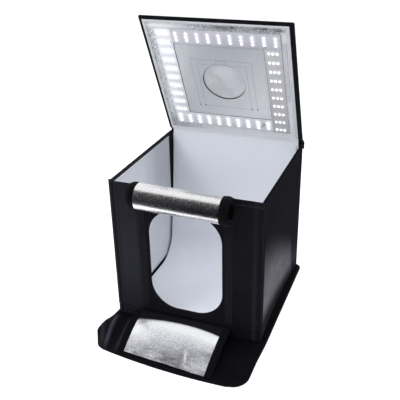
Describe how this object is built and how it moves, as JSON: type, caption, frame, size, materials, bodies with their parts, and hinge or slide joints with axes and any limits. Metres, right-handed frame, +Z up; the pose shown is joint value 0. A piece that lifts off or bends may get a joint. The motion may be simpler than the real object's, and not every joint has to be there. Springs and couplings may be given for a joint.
{
  "type": "light tent cube",
  "caption": "Folding light tent cube with lit lid, camera port hatch, front window, window curtains, white backdrop and base mat.",
  "frame": {"origin": "centre of the cube's footprint, on the underside of the mat (the floor)", "axes": "+Z up, +X to the right seen from the front, +Y towards the rear wall; the window faces -Y"},
  "size_m": [0.428, 0.5827, 0.7602],
  "materials": {
    "black_mat": "matte black cloth mat",
    "black_tape": "black hook and loop tape, fine nap",
    "black_cloth": "matte woven black cloth over a stiff board",
    "board": "plain stiff board",
    "white_lining": "smooth pale white lining",
    "white_sheet": "matte white plastic sheet",
    "pale_tape": "pale tape",
    "silver_film": "silver pebble-embossed film on cloth",
    "silver_lining": "grey silver reflective lining",
    "lamp_board": "pale lamp board with soldered light chips",
    "steel": "small bright screw",
    "black_plastic": "black moulded socket"
  },
  "bodies": {
    "base": {"base_mat": "black_mat", "left_foot_band": "black_tape", "right_foot_band": "black_tape", "rear_foot_band": "black_tape", "front_foot_strip": "black_cloth", "base_board": "board", "floor_lining": "white_lining", "backdrop": "white_sheet"},
    "left_wall": {"left_wall_cover": "black_cloth", "left_wall_board": "board", "left_wall_lining": "white_lining", "left_corner_strip": "black_tape"},
    "right_wall": {"right_wall_cover": "black_cloth", "right_wall_board": "board", "right_wall_lining": "white_lining", "right_corner_strip": "black_tape"},
    "rear_wall": {"rear_wall_cover": "black_cloth", "rear_wall_board": "board", "rear_wall_lining": "white_lining", "backdrop_loop_strip": "pale_tape", "lid_hinge_strip": "black_cloth"},
    "front_wall": {"front_wall_cover": "black_cloth", "front_wall_board": "board", "front_wall_lining": "white_lining", "front_loop_left": "black_tape", "front_loop_right": "black_tape", "upper_curtain_header": "black_tape"},
    "upper_roll": {"upper_curtain_film": "silver_film", "upper_hook_left": "black_tape", "upper_hook_right": "black_tape"},
    "lower_curtain": {"lower_curtain_film": "silver_film", "lower_hook_left": "black_tape", "lower_hook_right": "black_tape"},
    "lid": {"lid_cover": "black_cloth", "lid_board": "board", "lid_lining": "silver_lining", "lamp_board_front": "lamp_board", "lamp_board_right": "lamp_board", "lamp_board_rear": "lamp_board", "lamp_board_left": "lamp_board", "lamp_screw_1": "steel", "lamp_screw_2": "steel", "lamp_screw_3": "steel", "lamp_screw_4": "steel", "lamp_lead_tape": "pale_tape", "inlet_shell": "black_plastic", "inlet_pin": "steel", "hatch_loop_tape": "black_tape"},
    "hatch": {"hatch_cover": "black_cloth", "hatch_board": "board", "hatch_lining": "silver_lining", "hatch_hook_tape": "black_tape"}
  },
  "joints": [
    {"name": "left_wall_fold", "type": "hinge", "parent": "base", "child": "left_wall", "pos_m": [-0.2, 0, 0.0042], "axis": [0, 1, 0], "range_deg": [-90, 0]},
    {"name": "right_wall_fold", "type": "hinge", "parent": "base", "child": "right_wall", "pos_m": [0.2, 0, 0.0042], "axis": [0, -1, 0], "range_deg": [-90, 0]},
    {"name": "rear_wall_fold", "type": "hinge", "parent": "base", "child": "rear_wall", "pos_m": [0, 0.1975, 0.0042], "axis": [1, 0, 0], "range_deg": [-90, 0]},
    {"name": "front_wall_fold", "type": "hinge", "parent": "base", "child": "front_wall", "pos_m": [0, -0.1975, 0.031], "axis": [-1, 0, 0], "range_deg": [-83, 0]},
    {"name": "lid_hinge", "type": "hinge", "parent": "rear_wall", "child": "lid", "pos_m": [0, 0.1975, 0.4051], "axis": [-1, 0, 0], "range_deg": [-64.2, 115.8]},
    {"name": "top_hatch_hinge", "type": "hinge", "parent": "lid", "child": "hatch", "pos_m": [0, 0.15253, 0.50387], "axis": [-1, 0, 0], "range_deg": [0, 100]},
    {"name": "upper_curtain_swing", "type": "hinge", "parent": "front_wall", "child": "upper_roll", "pos_m": [0, -0.1993, 0.398], "axis": [-1, 0, 0], "range_deg": [0, 35]},
    {"name": "lower_curtain_hinge", "type": "hinge", "parent": "base", "child": "lower_curtain", "pos_m": [0, -0.199, 0.029], "axis": [-1, 0, 0], "range_deg": [0, 88]}
  ]
}
